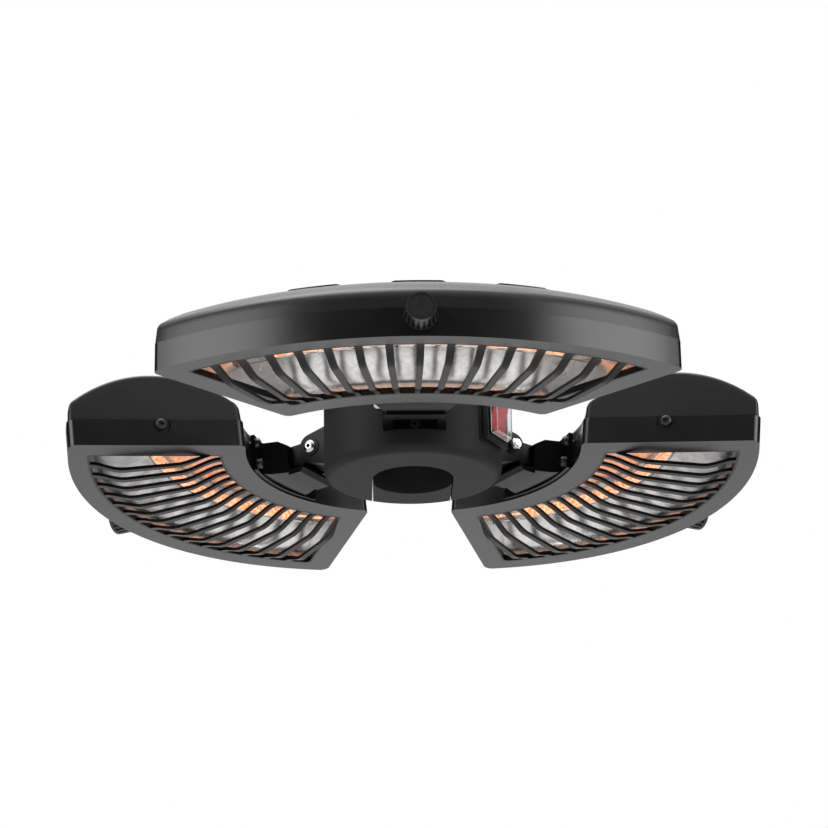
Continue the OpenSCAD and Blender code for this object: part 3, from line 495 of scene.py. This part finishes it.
# Steps of the mesh across the trough, the degrees it's spun through, and steps of that.
TROUGH_LINES, TROUGH_TURN, TROUGH_STEPS = 40, 104, 150
# How far the end plates stand inside the end walls, and the lamp's arc and hole in them.
PLATE_INSET = 0.0188
LAMP_R, LAMP_Z, LAMP_HOLE_R = 0.230, 0.038, 0.0061
# The rivets' places along a plate from the pole, and their middle's depth and radius.
RIVETS, RIVET_INSET, RIVET_R, RIVET_FLAT = (0.1735, 0.1615), 0.0192, 0.0019, 0.55
# Waves to the metre and their height, above the trough's plain rim.
RIPPLES, RIPPLE_FROM = ((55, 0.00035), (140, 0.00012)), 0.0235


def trough_section():
    """Points across the trough, from its inner rim over the lamp to its outer rim."""
    middle, half = (TROUGH_IN + TROUGH_OUT) / 2, (TROUGH_OUT - TROUGH_IN) / 2
    turns = [pi * (1 - i / TROUGH_LINES) for i in range(TROUGH_LINES + 1)]
    return [(middle + half * cos(turn), 0,
             TROUGH_LOW + (TROUGH_HIGH - TROUGH_LOW) * sin(turn) ** TROUGH_FULL)
            for turn in turns]


def plate_normal(way):
    """The way out of the head through one of its end walls."""
    return Vector((-sin(HALF_SPAN), way * cos(HALF_SPAN), 0))


def lamp_cross(way):
    """Where the lamp's axis meets the plane of an end plate."""
    line = Vector((cos(HALF_SPAN), way * sin(HALF_SPAN), 0))
    start = plate_normal(way) * -PLATE_INSET
    offset = start - Vector((-ARC_BACK, 0, 0))
    b, c = offset.dot(line), offset.length_squared - LAMP_R ** 2
    point = start + line * (-b + (b * b - c) ** 0.5)
    return Vector((point.x, point.y, LAMP_Z))


def end_plate(made, way):
    """Cuts the trough off and closes it with a plate that has the lamp's hole."""
    normal = plate_normal(way)
    bmesh.ops.bisect_plane(made, geom=made.verts[:] + made.edges[:] + made.faces[:],
                           plane_co=-normal * PLATE_INSET, plane_no=normal, clear_outer=True)
    rim = [edge for edge in made.edges if edge.is_boundary and all(
        abs((vert.co + normal * PLATE_INSET).dot(normal)) < 1e-5 for vert in edge.verts)]
    foot = sorted({vert for edge in rim for vert in edge.verts},
                  key=lambda vert: (round(vert.co.z, 6), vert.co.x))[:2]
    rim.append(made.edges.new(foot))
    hole = bmesh.ops.create_circle(made, segments=24, radius=LAMP_HOLE_R,
                                   cap_ends=False)["verts"]
    turn = normal.to_track_quat("Z", "X").to_matrix().to_4x4()
    bmesh.ops.transform(made, matrix=Matrix.Translation(lamp_cross(way)) @ turn, verts=hole)
    ring = [edge for edge in made.edges if all(vert in hole for vert in edge.verts)]
    bmesh.ops.triangle_fill(made, edges=rim + ring, use_beauty=True, use_dissolve=False)


def rivet_head(made, way, reach):
    """A domed rivet in an end plate."""
    head = bmesh.ops.create_uvsphere(made, u_segments=16, v_segments=8,
                                     radius=RIVET_R)["verts"]
    bmesh.ops.scale(made, verts=head, vec=(1, RIVET_FLAT, 1))
    place = Matrix.Rotation(way * HALF_SPAN, 4, "Z") @ Matrix.Translation(
        (reach, -way * RIVET_INSET, LAMP_Z))
    bmesh.ops.transform(made, matrix=place, verts=head)


def reflector_piece(side):
    """Spins the section round, closes the ends, ripples the sheet and gives it thickness."""
    made = bmesh.new()
    line = [made.verts.new(point) for point in trough_section()]
    for pair in zip(line, line[1:]):
        made.edges.new(pair)
    bmesh.ops.rotate(made, verts=made.verts, cent=(0, 0, 0),
                     matrix=Matrix.Rotation(radians(-TROUGH_TURN / 2), 3, "Z"))
    bmesh.ops.spin(made, geom=made.verts[:] + made.edges[:], cent=(0, 0, 0), axis=(0, 0, 1),
                   angle=radians(TROUGH_TURN), steps=TROUGH_STEPS, use_merge=False,
                   use_duplicate=False)
    bmesh.ops.translate(made, verts=made.verts, vec=(-ARC_BACK, 0, 0))
    for way in (-1, 1):
        end_plate(made, way)
    bmesh.ops.remove_doubles(made, verts=made.verts, dist=1e-6)
    for vert in made.verts:
        if vert.co.z > RIPPLE_FROM:
            vert.co.z += sum(noise.noise(vert.co * rate) * high for rate, high in RIPPLES)
    face_out(made, -1)
    bmesh.ops.solidify(made, geom=made.faces[:], thickness=TROUGH_THICK)
    for way in (-1, 1):
        for reach in RIVETS:
            rivet_head(made, way, reach)
    onto_head(made, side)
    settle(made, "trough_" + side, reflector_metal, "reflector_" + side,
           smooth=40)


reflector_metal = finish_of("reflector_metal", "cfcbc8", "f6f4f2", 0.24, metal=1.0,
                            grain=260, relief=0.000004, patches=30, smudge=0.1)
for side in SIDES:
    reflector_piece(side)

# The lamp is a quartz tube with a woven carbon strip that glows orange in it. Glazed
# ceramic caps close its ends, and spring clips hold the caps.
# Yarns to the metre, and the drift of heat over them with each one's share in the glow.
WEAVE, WEAVE_SHARE = 520, 0.7
DRIFT, DRIFT_SHARE = 300, 0.5
# The strip's glow, from the hottest yarns to the coolest.
HEAT = [(0.2, (1.0, 0.84, 0.62)), (0.5, (1.0, 0.5, 0.24)), (0.8, (0.8, 0.2, 0.07))]


def clear_finish(name, tint, patches, rough, smudge, ior):
    """Glass or clear plastic with a faint haze in its tint and gloss."""
    material, shader, place = new_finish(name)
    haze = cloudy(place, patches, 2)
    tone = place.node("ShaderNodeValToRGB", {"stops": [(0.3, tint), (0.7, (1, 1, 1))]},
                      {0: haze})
    tone.feed(shader, "Base Color")
    (haze * smudge + rough).feed(shader, "Roughness")
    shader.inputs["Transmission Weight"].default_value = 1
    shader.inputs["IOR"].default_value = ior
    return material


def woven_glow():
    """The carbon weave: a knot at each crossing, and heat that drifts a little."""
    material, shader, place = new_finish("woven_glow")
    knots = place.node("ShaderNodeTexVoronoi", {}, {"Vector": place, "Scale": WEAVE})
    drift = cloudy(place, DRIFT, 2)
    heat = place.node("ShaderNodeValToRGB", {"stops": HEAT},
                      {0: knots * WEAVE_SHARE + drift * DRIFT_SHARE})
    heat.feed(shader, "Emission Color")
    (drift * 0.2 + 0.5).feed(shader, "Roughness")
    shader.inputs["Base Color"].default_value = (0.05, 0.03, 0.02, 1)
    shader.inputs["Emission Strength"].default_value = 1.6
    return material


def dress(names, material):
    """CAD nodes that keep their shape get this material."""
    for name in names:
        node = frame["nodes"][name]
        node.data.materials.clear()
        node.data.materials.append(material)


glazed = finish_of("glazed_ceramic", "e0dacd", "f0ece2", 0.22, coat=0.5, relief=0.00001)
spring_steel = finish_of("spring_steel", "a4a6a9", "c2c4c7", 0.3, metal=1.0, grain=900,
                         relief=0.00002)
quartz = clear_finish("quartz", (0.95, 0.9, 0.86), patches=60, rough=0.02, smudge=0.06,
                      ior=1.45)
carbon_glow = woven_glow()
for side in SIDES:
    dress(["lamp_tube_" + side], quartz)
    dress(["lamp_element_" + side], carbon_glow)
    dress(["lamp_clips_" + side], spring_steel)
    rounded("lamp_caps_" + side, "caps_" + side, 0.0005, 2, glazed)

# Each head hangs on an arm moulded in black plastic: a curved plate on the casing's
# inner wall, a box behind it and a neck with the hinge barrel. Four screws hold it.
black_moulding = finish_of("black_moulding", "080808", "0e0e0e", 0.28, grain=1500,
                           relief=0.00004, specular=0.15)
zinc = finish_of("zinc", "808285", "9c9ea1", 0.32, metal=1.0, grain=900, relief=0.00002)
black_screw = finish_of("black_screw", "141415", "222224", 0.35, relief=0.00002)
for side in SIDES:
    rounded("bracket_" + side, "arm_" + side, 0.001, 3, black_moulding)
    dress(["bracket_screws_" + side], zinc)
    dress(["head_screws_" + side], black_screw)

# A rotary knob on each head's outer wall sets its power. It has a ribbed skirt and a
# dished face with a pointer, and sits on the shaft of a small switch in the casing.
knob_moulding = finish_of("knob_moulding", "1c1c1e", "29292b", 0.3, grain=1500,
                          relief=0.00003)
pale_moulding = finish_of("pale_moulding", "bdb8a8", "cfcabb", 0.45, relief=0.00003)
for side in SIDES:
    rounded("knob_" + side, "grip_" + side, 0.0003, 2, knob_moulding)
    dress(["knob_switch_" + side], pale_moulding)

# The hub is moulded in charcoal plastic. It goes onto the pole from the side, a jaw
# closes its back, and a lid with four screws shuts its top.
hub_moulding = finish_of("hub_moulding", "18191a", "222324", 0.6, grain=1800,
                         relief=0.00006, specular=0.22)
rounded("hub_housing", "hub_shell", 0.0005, 2, hub_moulding)
rounded("hub_lid", "hub_top", 0.0005, 2, hub_moulding)
rounded("clamp_jaw", "jaw", 0.0006, 2, hub_moulding)
dress(["lid_screws", "fork_screws"], zinc)

# Three forks on the hub carry the arms. A steel bolt with a button head goes through
# each, with a nut on its other end, and a dark rubber bush guards the lead.
bright_steel = finish_of("bright_steel", "b9bbbe", "d6d8db", 0.24, metal=1.0, grain=900,
                         relief=0.00002)
dark_rubber = finish_of("dark_rubber", "121211", "1a1a19", 0.7, specular=0.2)
for side in SIDES:
    rounded("hinge_fork_" + side, "fork_" + side, 0.0007, 2, black_moulding)
rounded("hinge_bolts", "bolts", 0.0003, 2, bright_steel)
rounded("hinge_nuts", "nuts", 0.0003, 2, bright_steel)
dress(["lead_bushes"], dark_rubber)

# The rocker switch stands in a panel of the hub. It has a black rim, a red rocker and a
# clear soft cover against rain.
red_moulding = finish_of("red_moulding", "b01a16", "cb2620", 0.22, coat=0.4,
                         relief=0.00001)
clear_cover = clear_finish("clear_cover", (0.9, 0.93, 0.95), patches=90, rough=0.05,
                           smudge=0.1, ior=1.42)
rounded("switch_body", "switch_rim", 0.0004, 2, black_moulding)
rounded("switch_rocker", "rocker", 0.0006, 3, red_moulding)
rounded("switch_cover", "splash_cover", 0.0003, 2, clear_cover)

# Two lobed knobs run on steel studs, which stand in brass inserts, and pull the jaw
# shut. The cord goes in at the lid through a gland, to a terminal block inside.
brass = finish_of("brass", "a88442", "c09c56", 0.3, metal=1.0, grain=900, relief=0.00002)
for way in ("left", "right"):
    rounded("clamp_knob_" + way, "hand_knob_" + way, 0.001, 3, black_moulding)
rounded("cable_gland", "gland", 0.0004, 2, black_moulding)
dress(["gland_nut"], black_moulding)
dress(["terminal_block"], pale_moulding)
dress(["clamp_inserts"], brass)
dress(["clamp_studs"], zinc)
